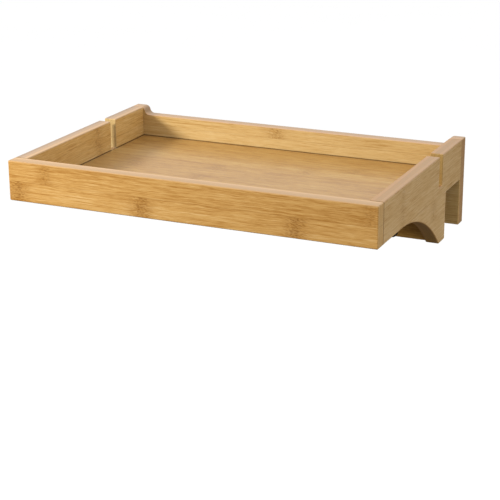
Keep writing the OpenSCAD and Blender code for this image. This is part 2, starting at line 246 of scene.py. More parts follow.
class Wires:
    """Adds nodes to a tree and joins them. Each helper gives back an output socket."""

    def __init__(self, tree):
        self.tree = tree
        tree.nodes.clear()

    def feed(self, socket, value):
        """Links the socket to another one, or sets its plain value."""
        if isinstance(value, bpy.types.NodeSocket):
            self.tree.links.new(value, socket)
        else:
            socket.default_value = value

    def add(self, kind, inputs=None, **settings):
        """New node with its settings, fed at its named or numbered inputs."""
        node = self.tree.nodes.new(kind)
        for name, value in settings.items():
            setattr(node, name, value)
        for name, value in (inputs or {}).items():
            self.feed(node.inputs[name], value)
        return node

    def math(self, operation, *values):
        node = self.add("ShaderNodeMath", dict(enumerate(values)), operation=operation)
        return node.outputs[0]

    def times(self, a, b):
        return self.math("MULTIPLY", a, b)

    def plus(self, a, b):
        return self.math("ADD", a, b)

    def minus(self, a, b):
        return self.math("SUBTRACT", a, b)

    def vector(self, operation, *values):
        node = self.add("ShaderNodeVectorMath", dict(enumerate(values)), operation=operation)
        return node.outputs["Value" if operation in ("LENGTH", "DISTANCE") else "Vector"]

    def combine(self, x, y, z):
        return self.add("ShaderNodeCombineXYZ", {"X": x, "Y": y, "Z": z}).outputs[0]

    def split(self, vector):
        return self.add("ShaderNodeSeparateXYZ", {"Vector": vector}).outputs

    def fade(self, value, low, high):
        """0 at low, 1 at high, and smooth between. low may be the larger."""
        node = self.add(
            "ShaderNodeMapRange",
            {"Value": value, "From Min": low, "From Max": high},
            interpolation_type="SMOOTHSTEP",
        )
        return node.outputs[0]

    def bell(self, distance, reach):
        """1 at a distance of 0, falling away over reach."""
        ratio = self.math("DIVIDE", distance, reach)
        return self.math("EXPONENT", self.times(self.times(ratio, ratio), -1.0))

    def from_whole(self, count):
        """Distance of a running count from the nearest whole number, 0 to 0.5."""
        from_middle = self.math("ABSOLUTE", self.minus(self.math("FRACT", count), 0.5))
        return self.minus(0.5, from_middle)

    def place(self):
        """Place in the piece's own axes, in metres."""
        return self.add("ShaderNodeTexCoord").outputs["Object"]

    def stretched(self, vector, scale, rotation=(0.0, 0.0, 0.0)):
        node = self.add(
            "ShaderNodeMapping",
            {"Vector": vector, "Scale": scale, "Rotation": rotation},
        )
        return node.outputs[0]

    def noise(self, vector, detail=2.0, roughness=0.5, scale=1.0):
        node = self.add(
            "ShaderNodeTexNoise",
            {"Vector": vector, "Scale": scale, "Detail": detail, "Roughness": roughness},
        )
        return node.outputs[0]

    def cells(self, vector, scale=1.0):
        """Distance to the nearest of scattered points."""
        node = self.add("ShaderNodeTexVoronoi", {"Vector": vector, "Scale": scale})
        return node.outputs["Distance"]

    def chance(self, vector):
        """A random number from 0 to 1 for each vector."""
        node = self.add("ShaderNodeTexWhiteNoise", {"Vector": vector})
        return node.outputs["Value"]

    def blend(self, factor, a, b, kind="MIX"):
        node = self.add(
            "ShaderNodeMix", {MIX_FACTOR: factor, MIX_A: a, MIX_B: b},
            data_type="RGBA", blend_type=kind, clamp_factor=True,
        )
        return node.outputs[MIX_RESULT]

    def tinted(self, colour, tone):
        return self.blend(1.0, colour, tone, "MULTIPLY")

    def bump(self, height, distance, strength):
        node = self.add(
            "ShaderNodeBump",
            {"Height": height, "Distance": distance, "Strength": strength},
        )
        return node.outputs[0]

    def surface(self, linked, **constant):
        """Principled shader: linked holds sockets by name, constant the plain values."""
        shader = self.add("ShaderNodeBsdfPrincipled", linked)
        for name, value in constant.items():
            shader.inputs[name.replace("_", " ")].default_value = value
        self.add("ShaderNodeOutputMaterial", {"Surface": shader.outputs[0]})


def new_material(name):
    material = bpy.data.materials.new(name)
    material.use_nodes = True
    return material, Wires(material.node_tree)


def dress(obj, material):
    """Gives obj one material."""
    if not obj.material_slots:
        obj.data.materials.append(material)
    for slot in obj.material_slots:
        slot.material = material


# -------------------------------------------------------------------- bamboo


class Grain:
    """How one piece is cut from the bamboo, and what sets its finish apart.

    Places are in mm. Strips and plies are counted from the low side.
    """

    axes = "XZY"  # along the fibres, across the strips, through the plies
    strip_start = box_mm("front_panel")[0].z  # at the walls' bottom edge
    layers = None  # places that the plies lie between, or None for the piece's own faces
    plies = 3
    seed = 0.0  # picks the strips and the fibres
    knuckles = ()  # listed: (ply, strip, place along the piece, faintness)
    soft = 1.0  # strength of the knuckles
    contrast = 1.0  # strength of the fibres
    fineness = 1.0  # fineness of the fibres
    cut_from = 0.55  # how squarely a surface cuts the fibres where end grain begins
    faces = (1.0, 1.0, 1.0)  # tint of the faces
    edges = ((1.0, 1.0, 1.0),)  # tints of the planed edges, one for each ply
    ends = (1.0, 1.0, 1.0)  # tint of the sawn ends

    def __init__(self, node, **own):
        for name, value in own.items():
            setattr(self, name, value)
        self.along, self.across, self.through = (AXES.index(axis) for axis in self.axes)
        skin = 0.05  # keeps the faces themselves clear of the boundaries
        low, high = self.layers or (corner[self.through] for corner in box_mm(node))
        self.strip_from = self.strip_start - skin
        self.ply_from = low - skin
        self.ply = (high - low + 2 * skin) / self.plies


# The tints below were matched to each board's colour in this scene's light: besides each board's
# own tone, some hold painted shade and sheen, marked where they stand.
BOARD_CUTS = {
    "front_panel": {
        "seed": 1.0,
        "faces": (0.8, 0.8, 0.83),
        "edges": ((0.77, 0.74, 0.55), (0.82, 0.8, 0.64), (0.97, 0.97, 0.84)),
        "ends": (1.05, 1.11, 1.27),
        "knuckles": (
            (0, 1, -141, 5), (0, 1, 173, 5), (0, 0, -170, 0), (0, 0, -42, 0), (0, 0, 106, 0),
        ),
    },
    "back_panel": {
        "seed": 2.0,
        "contrast": 0.7,
        "faces": (0.78, 0.92, 1.23),
        "edges": ((0.94, 0.88, 0.74), (0.79, 0.78, 0.7), (0.74, 0.77, 0.78)),
        "ends": (0.78, 0.78, 0.98),
        "knuckles": (
            (0, 1, -14, 2), (0, 0, 190, 0), (2, 1, -96, 3), (2, 0, 60, 0), (2, -1, 118, 2),
            (2, -2, -40, 0),
        ),
    },
    "left_side_panel": {
        "axes": "YZX",
        "seed": 3.0,
        "soft": 0.7,
        "cut_from": 0.45,
        "faces": (0.92, 1.0, 1.1),
        "edges": ((0.6, 0.62, 0.66), (0.74, 0.76, 0.75), (0.93, 0.92, 0.79)),
        "ends": (1.04, 1.24, 1.48),
        "knuckles": ((0, 1, -146, 3), (0, 0, -148, 1), (2, 1, -73, 1), (2, 0, -70, 3)),
    },
    "right_side_panel": {
        "axes": "YZX",
        "seed": 4.0,
        "soft": 0.5,
        "contrast": 0.8,
        "cut_from": 0.45,
        # greyer, bluer faces: partly the board's own tone, partly a painted sheen
        "faces": (0.8, 0.96, 1.58),
        # darker edges and ends: painted shade, mostly on the arch's underside
        "edges": ((0.77, 0.66, 0.42), (0.66, 0.59, 0.37), (0.72, 0.65, 0.46)),
        "ends": (0.76, 0.78, 0.67),
        "knuckles": ((2, 1, -151, 4), (2, 0, -150, 3), (2, -1, -60, 2), (0, 1, -120, 2)),
    },
    "clamp_board": {
        "seed": 5.0,
        # darker and browner faces: painted shade beneath the tray
        "faces": (0.86, 0.82, 0.6),
    },
    "channel_ceiling": {
        "axes": "XYZ",
        "strip_start": -4.0,
        "seed": 6.0,
    },
}
FLOOR_CUT = {
    "axes": "XYZ",
    "strip_start": box_mm("tray_floor")[0].y,
    "plies": 2,
    "seed": 9.0,
    "soft": 0.4,
    "contrast": 0.9,
    "fineness": 0.5,
    "faces": (0.62, 0.61, 0.55),
}
DOWEL_CUT = {
    "strip_start": 0.0,
    "layers": (-200.0, 200.0),
    "plies": 1,
    "seed": 12.0,
    "soft": 0.1,
}


def seam_and_shade_segments():
    """Lines where two boards meet, darkened as dark joints and as painted shade in the corners, in
    mm: lowest and highest corner, and width.

    X counts from the middle to either side, because both ends are alike.
    """
    front_low, front_high = box_mm("front_panel")
    side_low, side_high = box_mm("right_side_panel")
    clamp_low, clamp_high = box_mm("clamp_board")
    deck = box_mm("tray_floor")[1].z
    ceiling = box_mm("channel_ceiling")[0].z
    back = box_mm("back_panel")[0].y
    front, top = front_high.y, front_high.z
    near, far = side_low.x, side_high.x
    return (
        # the tray floor and the walls: painted shade in the corner between them
        ((near, front, deck), (near, back, deck), 1.0),
        ((0, front, deck), (near, front, deck), 1.0),
        ((0, back, deck), (near, back, deck), 1.0),
        # the side boards' ends, on the outside and on top
        ((far, front, front_low.z), (far, front, top), 0.8),
        ((far, back, ceiling), (far, back, top), 0.4),
        ((near, front, top), (far, front, top), 0.35),
        ((near, back, top), (far, back, top), 0.35),
        # the channel's ceiling between its two jaws: painted shade in its inside corners
        ((0, back, ceiling), (near, back, ceiling), 0.5),
        ((0, clamp_high.y, ceiling), (near, clamp_high.y, ceiling), 0.5),
        # the clamp board's ends: joint lines, with painted shade in the inside corner
        ((near, clamp_low.y, clamp_low.z), (near, clamp_low.y, clamp_high.z), 0.4),
        ((near, clamp_low.y, clamp_low.z), (near, clamp_high.y, clamp_low.z), 0.4),
    )


def seam_and_shade_group():
    """Node group: darkness of the nearest line where boards meet, for a dark joint and for painted
    shade in a corner, from 0 to 1, at a place in mm.
    """
    name = "board_seams_and_shade"
    tree = bpy.data.node_groups.get(name)
    if tree:
        return tree
    tree = bpy.data.node_groups.new(name, "ShaderNodeTree")
    tree.interface.new_socket("Place", in_out="INPUT", socket_type="NodeSocketVector")
    tree.interface.new_socket("Darkness", in_out="OUTPUT", socket_type="NodeSocketFloat")
    w = Wires(tree)
    x, y, z = w.split(w.add("NodeGroupInput").outputs["Place"])
    place = w.combine(w.math("ABSOLUTE", x), y, z)
    darkness = 0.0
    for low, high, width in seam_and_shade_segments():
        low, high = Vector(low), Vector(high)
        outside = w.vector("ABSOLUTE", w.vector("SUBTRACT", place, (low + high) / 2))
        outside = w.vector("SUBTRACT", outside, (high - low) / 2)
        distance = w.vector("LENGTH", w.vector("MAXIMUM", outside, (0.0, 0.0, 0.0)))
        darkness = w.math("MAXIMUM", darkness, w.fade(distance, width, width * 0.35))
    w.add("NodeGroupOutput", {"Darkness": darkness})
    return tree


class Bamboo:
    """Nodes of laminated bamboo on one piece.

    u, v and t are places in mm: along the fibres, across the strips, through the plies.
    """

    def __init__(self, w, board, grain):
        self.w, self.board, self.grain = w, board, grain
        coordinates = w.add("ShaderNodeTexCoord").outputs
        self.normal = w.split(coordinates["Normal"])
        self.place_mm = w.vector("MULTIPLY", coordinates["Object"], (1 / MM,) * 3)
        place = w.split(self.place_mm)
        self.u, self.v, self.t = place[grain.along], place[grain.across], place[grain.through]
        self.strips = w.math("DIVIDE", w.minus(self.v, grain.strip_from), board.strip / MM)
        self.plies = w.math("DIVIDE", w.minus(self.t, grain.ply_from), grain.ply)
        self.strip, self.ply = w.math("FLOOR", self.strips), w.math("FLOOR", self.plies)
        self.draw = w.chance(w.combine(self.strip, self.ply, grain.seed))
        self.knuckle = self.knuckle_distance()
        self.bend()
        self.fine = self.fibres(0.05, 1.6, 2.0, 0.6)
        self.streak = self.fibres(0.018, 0.6, 2.0, 0.6)
        self.broad = self.fibres(0.006, 0.06, 1.0, 0.5)
        self.hair = self.fibres(0.12, 4.5, 2.0, 0.6)
        strokes = self.fibres(0.34, 1.2, 1.0, 0.5)
        self.dash = w.times(w.fade(strokes, 0.48, 0.6), w.bell(self.knuckle, 9.0))
        self.strip_line = w.fade(w.from_whole(self.strips), 0.03, 0.008)
        self.glue_line = w.times(w.fade(w.from_whole(self.plies), 0.05, 0.01), 0.5)

    def knuckle_distance(self):
        """Distance in mm to the nearest knuckle of the same strip.

        A ply with listed knuckles has no others.
        """
        w = self.w
        pitch = self.board.knuckle_pitch / MM
        phase = w.math("FRACT", w.plus(w.math("DIVIDE", self.u, pitch), self.draw))
        distance = w.times(w.math("ABSOLUTE", w.minus(phase, 0.5)), pitch)
        for ply in sorted({knuckle[0] for knuckle in self.grain.knuckles}):
            distance = w.plus(distance, w.times(self.is_at(self.ply, ply), pitch))
        for ply, strip, place, faintness in self.grain.knuckles:
            here = w.times(self.is_at(self.ply, ply), self.is_at(self.strip, strip))
            elsewhere = w.times(w.minus(1.0, here), pitch)
            own = w.plus(w.math("ABSOLUTE", w.minus(self.u, float(place))), float(faintness))
            distance = w.math("MINIMUM", distance, w.plus(own, elsewhere))
        return distance

    def is_at(self, count, number):
        """1 in the strip or ply with this number, and 0 elsewhere."""
        return self.w.math("COMPARE", count, float(number), 0.5)

    def bend(self):
        """Lets the fibres wander a little, and bow round a knuckle."""
        w = self.w
        slow = w.combine(w.times(self.u, 0.008), w.times(self.v, 0.05), w.times(self.t, 0.05))
        quick = w.combine(w.times(self.u, 0.05), w.times(self.v, 0.15), self.draw)
        wander = w.times(w.minus(w.noise(slow), 0.5), 3.5)
        self.ripple = w.minus(w.noise(quick, detail=1.0), 0.5)
        bow = w.plus(w.times(w.bell(self.knuckle, 24.0), 6.0), 0.5)
        self.v_bent = w.plus(self.v, w.plus(wander, w.times(self.ripple, bow)))
        self.t_own = w.plus(self.t, w.times(self.draw, 40.0))

    def fibres(self, along, across, detail, roughness):
        """Noise drawn out along the fibres. along and across are its scales per mm."""
        w = self.w
        across *= self.grain.fineness
        where = w.combine(
            w.times(self.u, along), w.times(self.v_bent, across), w.times(self.t_own, across))
        return w.noise(where, detail, roughness)

    def face(self):
        """Colour of a face: dark and pale fibres, flecks, knuckles and strip joints."""
        w, board, grain = self.w, self.board, self.grain
        dark, knuckle = opaque(board.face_dark), opaque(board.knuckle)
        tone_draw = w.chance(w.combine(self.strip, self.ply, grain.seed + 7.0))
        shares = (
            (self.fine, 0.38), (self.streak, 0.27), (self.broad, 0.1), (self.hair, 0.3),
            (tone_draw, 0.06),
        )
        fibre = 0.5
        for layer, share in shares:
            fibre = w.plus(fibre, w.times(w.minus(layer, 0.5), share * grain.contrast))
        face = w.blend(w.fade(fibre, 0.36, 0.52), dark, opaque(board.face_mid))
        face = w.blend(w.fade(fibre, 0.5, 0.66), face, opaque(board.face_light))
        flecks = w.fade(self.fibres(0.13, 2.4, 1.0, 0.5), 0.6, 0.72)
        face = w.blend(w.times(flecks, 0.5 * grain.contrast), face, dark)

        # a haze round each knuckle, a soft band, and strokes that thin out to both sides
        haze = w.times(w.bell(self.knuckle, 12.0), w.fade(self.streak, 0.25, 0.6))
        ragged = w.plus(self.knuckle, w.times(self.ripple, 6.0))
        band = w.times(w.bell(ragged, 2.4), w.fade(self.fine, 0.35, 0.6))
        mark = w.math(
            "MAXIMUM", w.times(self.dash, 0.72 * grain.soft), w.times(band, 0.3 * grain.soft))
        face = w.blend(w.times(haze, 0.5 * grain.soft), face, dark)
        face = w.blend(mark, face, knuckle)
        face = w.blend(w.times(self.strip_line, 0.2), face, knuckle)
        return w.tinted(face, opaque(grain.faces))

    def edge(self):
        """Colour of a planed edge: paler, each ply in its tone, with lines of glue."""
        w, board, grain = self.w, self.board, self.grain
        pale, line = opaque(board.edge_tone), opaque(board.edge_line)
        edge = w.blend(w.fade(self.fine, 0.3, 0.62), line, pale)
        edge = w.blend(0.72, edge, pale)
        edge = w.blend(self.glue_line, edge, line)
        tone = opaque(grain.edges[0])
        for count, next_tone in enumerate(grain.edges[1:], start=1):
            beyond = w.fade(self.plies, count - 0.15, count + 0.15)
            tone = w.blend(beyond, tone, opaque(next_tone))
        return w.tinted(edge, tone)

    def end(self):
        """Colour of a sawn end, which shows the fibres end on."""
        w, board = self.w, self.board
        dot = opaque(board.end_dot)
        dots = w.cells(
            w.combine(w.times(self.v, 1.6), w.times(self.t, 1.9), w.times(self.u, 0.01)))
        end = w.blend(w.times(w.fade(dots, 0.5, 0.2), 0.55), opaque(board.end_tone), dot)
        cloud = w.times(w.fade(self.broad, 0.35, 0.65), 0.2)
        end = w.blend(cloud, end, opaque(board.face_dark))
        end = w.blend(w.plus(self.glue_line, w.times(self.strip_line, 0.3)), end, dot)
        return w.tinted(end, opaque(self.grain.ends))

    def crosses(self, axis, low, high):
        """0 to 1 as the surface turns to face along the axis."""
        return self.w.fade(self.w.math("ABSOLUTE", self.normal[axis]), low, high)


def bamboo(name, board, grain):
    """Laminated bamboo: strips and plies with fibres, knuckles, glue lines and end grain."""
    material, w = new_material(name)
    wood = Bamboo(w, board, grain)
    # the paler edge tone reaches well onto the rounded arris: the planed edge's own tone, and a
    # painted highlight line along the arris
    edge_and_highlight_part = wood.crosses(grain.across, 0.15, 0.6)
    end_part = wood.crosses(grain.along, grain.cut_from, grain.cut_from + 0.42)
    seams_and_shade = w.add("ShaderNodeGroup", node_tree=seam_and_shade_group())
    w.feed(seams_and_shade.inputs["Place"], wood.place_mm)
    seam = seams_and_shade.outputs["Darkness"]
    colour = w.blend(end_part, w.blend(edge_and_highlight_part, wood.face(), wood.edge()), wood.end())
    # darken along the lines where boards meet: dark joints, and painted shade in the corners
    colour = w.blend(w.times(seam, 0.85), colour, opaque(board.seam))

    rough = w.plus(board.roughness, w.times(w.minus(wood.fine, 0.5), 0.25))
    rough = w.plus(rough, w.plus(w.times(end_part, 0.14), w.times(seam, 0.3)))
    relief = w.plus(w.times(wood.fine, 0.5), w.times(wood.streak, 0.35))
    relief = w.plus(relief, w.times(wood.hair, 0.25))
    relief = w.minus(relief, w.plus(w.times(wood.dash, 0.4), w.times(seam, 2.0)))
    w.surface(
        {
            "Base Color": colour,
            "Roughness": rough,
            "Normal": w.bump(relief, 0.08 * MM, 0.45),
        },
        Specular_IOR_Level=0.4, Coat_Weight=0.3, Coat_Roughness=0.24,
    )
    return material


# -------------------------------------------------------- hardware materials


def scaled(colour, share):
    return opaque([channel * share for channel in colour])


def plated(name, colour, roughness, spangle):
    """Plated metal with faint crystal patches and fine drawing lines."""
    material, w = new_material(name)
    place = w.place()
    patches = w.cells(place, scale=900.0)
    cloud = w.noise(place, detail=4.0, roughness=0.6, scale=420.0)
    lines = w.noise(w.stretched(place, (300, 9000, 300)), detail=1.0)
    shade = w.plus(w.times(patches, spangle), w.times(cloud, 0.35))
    relief = w.plus(w.times(lines, 0.5), w.times(cloud, 0.4))
    w.surface(
        {
            "Base Color": w.blend(w.fade(shade, 0.1, 0.75), scaled(colour, 0.72), opaque(colour)),
            "Roughness": w.plus(roughness - 0.08, w.times(cloud, 0.18)),
            "Normal": w.bump(relief, 0.03 * MM, 0.4),
        },
        Metallic=1.0,
    )
    return material


def moulded(name, colour, roughness, grain, scuff, subsurface=0.0):
    """Moulded plastic with a fine spark-eroded grain and lighter scuffs."""
    material, w = new_material(name)
    place = w.place()
    texture = w.noise(place, detail=3.0, roughness=0.65, scale=2600.0)
    cloud = w.noise(place, detail=4.0, roughness=0.6, scale=160.0)
    slanted = w.stretched(place, (180, 1500, 420), (0.4, 0.2, 0.7))
    scratches = w.noise(slanted, detail=3.0, roughness=0.7)
    light = w.times(w.fade(scratches, 0.6, 0.78), scuff)
    lighter = opaque([channel + (1 - channel) * 0.22 for channel in colour])
    even = w.times(w.fade(cloud, 0.3, 0.7), 0.5)
    base = w.blend(even, scaled(colour, 0.9), opaque(colour))
    rough = w.plus(roughness, w.times(w.minus(cloud, 0.5), 0.2))
    w.surface(
        {
            "Base Color": w.blend(light, base, lighter),
            "Roughness": w.plus(rough, w.times(light, 0.2)),
            "Normal": w.bump(texture, grain, 0.35),
        },
        Subsurface_Weight=subsurface, Subsurface_Scale=2 * MM,
    )
    return material


def rubbery(name, colour):
    """Matt dark disc with a dusty bloom."""
    material, w = new_material(name)
    place = w.place()
    dust = w.noise(place, detail=5.0, roughness=0.7, scale=700.0)
    pores = w.cells(place, scale=3200.0)
    dusty = opaque([channel + 0.08 for channel in colour])
    bloom = w.times(w.fade(dust, 0.45, 0.75), 0.3)
    w.surface({
        "Base Color": w.blend(bloom, opaque(colour), dusty),
        "Roughness": w.plus(0.62, w.times(dust, 0.2)),
        "Normal": w.bump(pores, 0.04 * MM, 0.4),
    })
    return material


# ---------------------------------------------------------- edges of solids

SHARP_TURN = math.radians(32)  # edges that turn more than this are eased
FLAT_TURN = math.radians(0.6)  # faces that turn less than this are one face
WELD_REACH = 0.002 * MM
JOINT_REACH = 0.1 * MM
NOWHERE = (9.0, 9.0)  # two joint planes that no piece reaches
ANYWHERE = (-9.0, 9.0)  # two heights that every piece lies between


def edge_tree():
    """Geometry nodes that shade a solid smooth and weigh its edges for the bevel.

    Edges shorter than Shortest stay sharp. Edges whose middle lies on one of the
    two joint planes, between the two heights, get the joint's share.
    """
    tree = bpy.data.node_groups.new("edge_weights", "GeometryNodeTree")
    tree.interface.new_socket("Geometry", in_out="INPUT", socket_type="NodeSocketGeometry")
    for name in ("Shortest", "Share", "Joint A", "Joint B", "Low", "High"):
        tree.interface.new_socket(name, in_out="INPUT", socket_type="NodeSocketFloat")
    tree.interface.new_socket("Geometry", in_out="OUTPUT", socket_type="NodeSocketGeometry")
    w = Wires(tree)
    given = w.add("NodeGroupInput").outputs
    ends = w.add("GeometryNodeInputMeshEdgeVertices").outputs
    start, end = ends["Position 1"], ends["Position 2"]
    middle = w.split(w.vector("MULTIPLY", w.vector("ADD", start, end), (0.5, 0.5, 0.5)))
    turn = w.add("GeometryNodeInputMeshEdgeAngle").outputs["Unsigned Angle"]
    sharp = w.math("GREATER_THAN", turn, SHARP_TURN)
    length = w.vector("DISTANCE", start, end)
    long_enough = w.math("GREATER_THAN", length, given["Shortest"])
    at_joint = w.plus(
        w.math("COMPARE", middle["Y"], given["Joint A"], JOINT_REACH),
        w.math("COMPARE", middle["Y"], given["Joint B"], JOINT_REACH),
    )
    in_height = w.times(
        w.math("GREATER_THAN", middle["Z"], given["Low"]),
        w.math("LESS_THAN", middle["Z"], given["High"]),
    )
    joint = w.math("MINIMUM", w.times(at_joint, in_height), 1.0)
    size = w.minus(1.0, w.times(joint, w.minus(1.0, given["Share"])))
    weight = w.times(w.times(sharp, long_enough), size)
    left_sharp = w.times(sharp, w.minus(1.0, long_enough))
    shape = w.add(
        "GeometryNodeRemoveAttribute",
        {"Geometry": given["Geometry"], "Name": "custom_normal"},
    )
    shape = w.add("GeometryNodeSetShadeSmooth", {"Geometry": shape.outputs[0]}, domain="FACE")
    shape = w.add(
        "GeometryNodeSetShadeSmooth",
        {"Geometry": shape.outputs[0], "Selection": left_sharp, "Shade Smooth": False},
        domain="EDGE",
    )
    shape = w.add(
        "GeometryNodeStoreNamedAttribute",
        {"Geometry": shape.outputs[0], "Name": "bevel_weight_edge", "Value": weight},
        data_type="FLOAT", domain="EDGE",
    )
    w.add("NodeGroupOutput", {"Geometry": shape.outputs[0]})
    return tree


def ease_edges(obj, width, shortest=0.0, share=1.0, joints=NOWHERE, heights=ANYWHERE, segments=3):
    """Rounds a solid's edges by modifiers, so that the solid itself stays as it is."""
    weld = obj.modifiers.new("weld", "WELD")
    weld.merge_threshold = WELD_REACH
    flat = obj.modifiers.new("flat", "DECIMATE")
    flat.decimate_type = "DISSOLVE"
    flat.angle_limit = FLAT_TURN
    weights = obj.modifiers.new("weights", "NODES")
    weights.node_group = bpy.data.node_groups.get("edge_weights") or edge_tree()
    values = {
        "Shortest": shortest, "Share": share, "Joint A": joints[0], "Joint B": joints[1],
        "Low": heights[0], "High": heights[1],
    }
    for item in weights.node_group.interface.items_tree:
        if item.in_out == "INPUT" and item.name in values:
            weights[item.identifier] = values[item.name]
    bevel = obj.modifiers.new("eased", "BEVEL")
    bevel.limit_method = "WEIGHT"
    bevel.width = width
    bevel.segments = segments
    bevel.use_clamp_overlap = False
    bevel.loop_slide = False
    bevel.miter_outer = "MITER_ARC"
    bevel.harden_normals = True


# --------------------------------------------------------------- turned work


def rounded(points, radius, steps=4):
    """Open outline with its inner corners replaced by curves of about radius."""
    most = 0.45  # of either stretch beside a corner
    path = [points[0]]
    for before, corner, after in zip(points, points[1:], points[2:]):
        b, c, a = Vector(before), Vector(corner), Vector(after)
        reach = min(radius, (b - c).length * most, (a - c).length * most)
        start = c + (b - c).normalized() * reach
        end = c + (a - c).normalized() * reach
        for step in range(steps + 1):
            s = step / steps
            path.append(tuple(start * (1 - s) ** 2 + c * 2 * s * (1 - s) + end * s ** 2))
    path.append(points[-1])
    return path


def part_box(side, part):
    """Lowest and highest place of a turned node along its axis, and its radius."""
    low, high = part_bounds(f"{side}_{part}")
    return low.y, high.y, (high.x - low.x) / 2


def screw_axis(side):
    """X and Z of a clamp screw's axis."""
    low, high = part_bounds(side + "_threaded_rod")
    return (low.x + high.x) / 2, (low.z + high.z) / 2


def turned(name, side, rings, sides, radius_at=None):
    """Closed piece on a screw axis from rings of (radius, y), from one tip to the other.

    The first and last ring have no radius. radius_at(radius, y, angle, index) may
    reshape a ring, with the angle from +Z towards +X.
    """
    axis_x, axis_z = screw_axis(side)
    mesh = bmesh.new()
    first = mesh.verts.new((axis_x, rings[0][1], axis_z))
    loops = []
    for index, (radius, y) in enumerate(rings[1:-1], start=1):
        loop = []
        for step in range(sides):
            angle = 2 * math.pi * step / sides
            r = radius_at(radius, y, angle, index) if radius_at else radius
            x, z = axis_x + r * math.sin(angle), axis_z + r * math.cos(angle)
            loop.append(mesh.verts.new((x, y, z)))
        loops.append(loop)
    last = mesh.verts.new((axis_x, rings[-1][1], axis_z))
    for step in range(sides):
        after = (step + 1) % sides
        mesh.faces.new((first, loops[0][after], loops[0][step]))
        for a, b in zip(loops, loops[1:]):
            mesh.faces.new((a[step], a[after], b[after], b[step]))
        mesh.faces.new((last, loops[-1][step], loops[-1][after]))
    bmesh.ops.recalc_face_normals(mesh, faces=mesh.faces)
    data = bpy.data.meshes.new(name)
    mesh.to_mesh(data)
    mesh.free()
    data.shade_smooth()
    data.set_sharp_from_angle(angle=math.radians(40))
    piece = bpy.data.objects.new(name, data)
    bpy.context.scene.collection.objects.link(piece)
    return piece


def stand_for(piece, node, material):
    """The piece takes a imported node's place, body and finish."""
    dress(piece, material)
    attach(piece, frame["nodes"][node]["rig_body"])
    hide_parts(node)


def rod_rings(side, pitch, depth):
    """Rod from the knob's end to the head: plain ends, a thread, neck and head.

    Also gives the first and last ring of the thread.
    """
    low, high, radius = part_box(side, "threaded_rod")
    root = radius - depth
    neck, neck_len = radius - 1.4 * MM, 2 * MM
    head, head_len = radius - 0.5 * MM, 2.2 * MM
    head_edge = 0.3 * MM
    start = part_box(side, "lock_collar")[0]
    end = part_box(side, "pad_ferrule")[0] + 2 * MM
    rings_per_turn = 8
    count = int((end - start) / pitch * rings_per_turn)
    rings = [(0.0, low), (root, low), (root + 0.2 * MM, low + 0.4 * MM)]
    thread_first = len(rings)
    rings += [(radius, start + (end - start) * i / count) for i in range(count + 1)]
    thread_last = len(rings) - 1
    head_start = high - head_len
    neck_start = head_start - neck_len
    rings += [
        (root, end + 0.3 * MM), (root, neck_start), (neck, neck_start), (neck, head_start),
        (head, head_start), (head, high - head_edge), (head - head_edge, high), (0.0, high),
    ]
    return rings, thread_first, thread_last


def threaded_rod(side, screws):
    """Rod with a thread that rises along its turns and runs out at both ends."""
    rings, thread_first, thread_last = rod_rings(side, screws.pitch, screws.thread_depth)
    slope, root_width = 2.6, 0.15
    run_out_rings = 8

    def thread(radius, y, angle, index):
        if not thread_first <= index <= thread_last:
            return radius
        phase = (y / screws.pitch - angle / (2 * math.pi)) % 1.0
        crest = min(1.0, max(0.0, (0.5 - abs(phase - 0.5)) * slope - root_width))
        from_end = min(index - thread_first, thread_last - index)
        run_out = min(1.0, from_end / run_out_rings)
        return radius - screws.thread_depth * (1 - crest * run_out)

    return turned(side + "_rod", side, rings, sides=48, radius_at=thread)


def star_knob(side, screws):
    """Lobed head with a capped face, over a stepped hub."""
    low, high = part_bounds(side + "_star_knob")
    # a lobe points along X, and the box's height ends at the two lobes next to Z
    reach = (high.z - low.z) / 2 / math.cos(math.pi / 2 / screws.lobes)
    lobe_angle = math.pi / 2
    cap = 8.6 * MM
    hub, hub_len = 8.5 * MM, 6 * MM
    bore, bore_depth = 4.3 * MM, 1.2 * MM
    fade_out = 0.5 * MM
    near, far = low.y, high.y
    head_back = far - hub_len
    outline = [
        # cap, and the ring round it
        (0.0, near), (cap - 0.9 * MM, near + 0.25 * MM), (cap - 0.7 * MM, near + 0.75 * MM),
        (cap, near + 0.75 * MM), (cap + 0.2 * MM, near + 0.3 * MM),
        # lobed head
        (reach - 3.2 * MM, near + 0.95 * MM), (reach - 0.8 * MM, near + 2.2 * MM),
        (reach, near + 4.6 * MM), (reach, head_back - 1.6 * MM), (reach - 1.4 * MM, head_back),
        # hub, and the mouth of its bore
        (hub + 1.2 * MM, head_back), (hub, head_back + 1.2 * MM), (hub, far - 0.8 * MM),
        (hub - 0.8 * MM, far), (bore, far), (bore, far - bore_depth), (0.0, far - bore_depth),
    ]

    def lobed(radius, y, angle, index):
        outside = min(1.0, max(0.0, (radius - cap) / (reach - cap)))
        if y > head_back - 0.01 * MM:
            outside *= max(0.0, 1 - (y - head_back) / fade_out)
        dip = ((1 - math.cos(screws.lobes * (angle - lobe_angle))) / 2) ** 1.15
        return radius - screws.hollow * dip * outside ** 1.5

    rings = rounded(outline, 0.9 * MM, steps=3)
    return turned(side + "_knob", side, rings, sides=168, radius_at=lobed)


